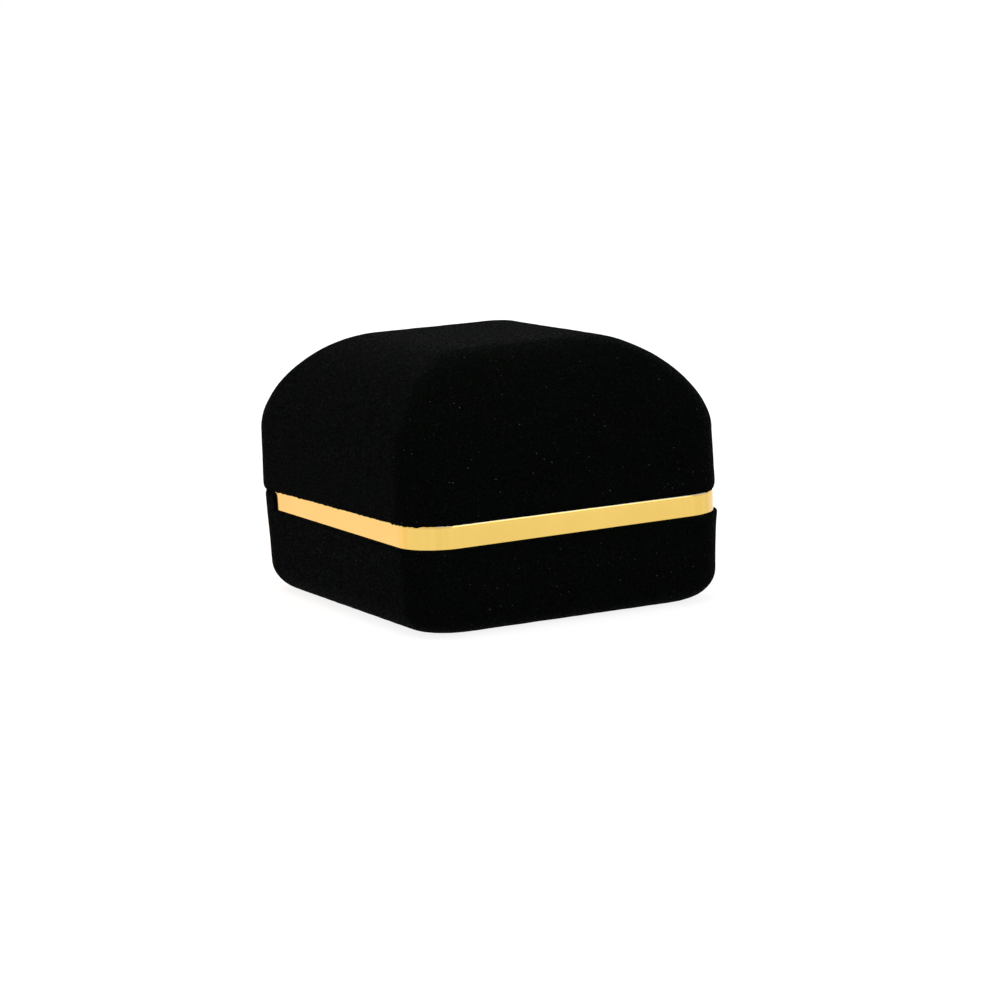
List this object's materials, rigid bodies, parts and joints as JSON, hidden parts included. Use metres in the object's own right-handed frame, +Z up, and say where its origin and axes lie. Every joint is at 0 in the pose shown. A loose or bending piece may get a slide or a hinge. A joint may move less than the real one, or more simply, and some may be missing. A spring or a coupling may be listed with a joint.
{
  "type": "ring box",
  "caption": "Black flocked clamshell ring box with a gold trim band, snap-hinged domed lid with a flat top, velvet slit pad for a ring and padded satin lid.",
  "frame": {"origin": "on the floor, under the middle of the whole outline at rest, hinge barrel included", "axes": "+X to the right seen from the front, +Y from the front to the hinge at the back, +Z up"},
  "size_m": [0.051, 0.0586, 0.0389],
  "materials": {
    "black_flock": "moulded polystyrene with black nylon flock on every outer face",
    "gold_band": "vacuum-metallised gold, bright and smooth",
    "brassed_steel": "brass-plated pressed steel",
    "spring_steel": "bright spring strip",
    "grey_board": "plain grey board",
    "white_foam": "open-cell polyurethane foam",
    "black_velvet": "short-pile velvet",
    "ivory_satin": "satin weave"
  },
  "bodies": {
    "base": {"base_shell": "black_flock", "trim_band": "gold_band", "hinge_leaf_base": "brassed_steel", "hinge_pin": "brassed_steel", "hinge_spring": "spring_steel", "base_rivet_left": "brassed_steel", "base_rivet_right": "brassed_steel", "spring_rivet": "brassed_steel", "pad_board": "grey_board", "pad_foam_front": "white_foam", "pad_foam_rear": "white_foam", "pad_velvet": "black_velvet"},
    "lid": {"lid_shell": "black_flock", "hinge_leaf_lid": "brassed_steel", "lid_rivet_left": "brassed_steel", "lid_rivet_right": "brassed_steel", "lid_card": "grey_board", "lid_foam": "white_foam", "lid_satin": "ivory_satin", "lid_lining": "ivory_satin"}
  },
  "joints": [
    {"name": "lid_hinge", "type": "hinge", "parent": "base", "child": "lid", "pos_m": [0, 0.02838, 0.01535], "axis": [-1, 0, 0], "range_deg": [0, 95]}
  ]
}
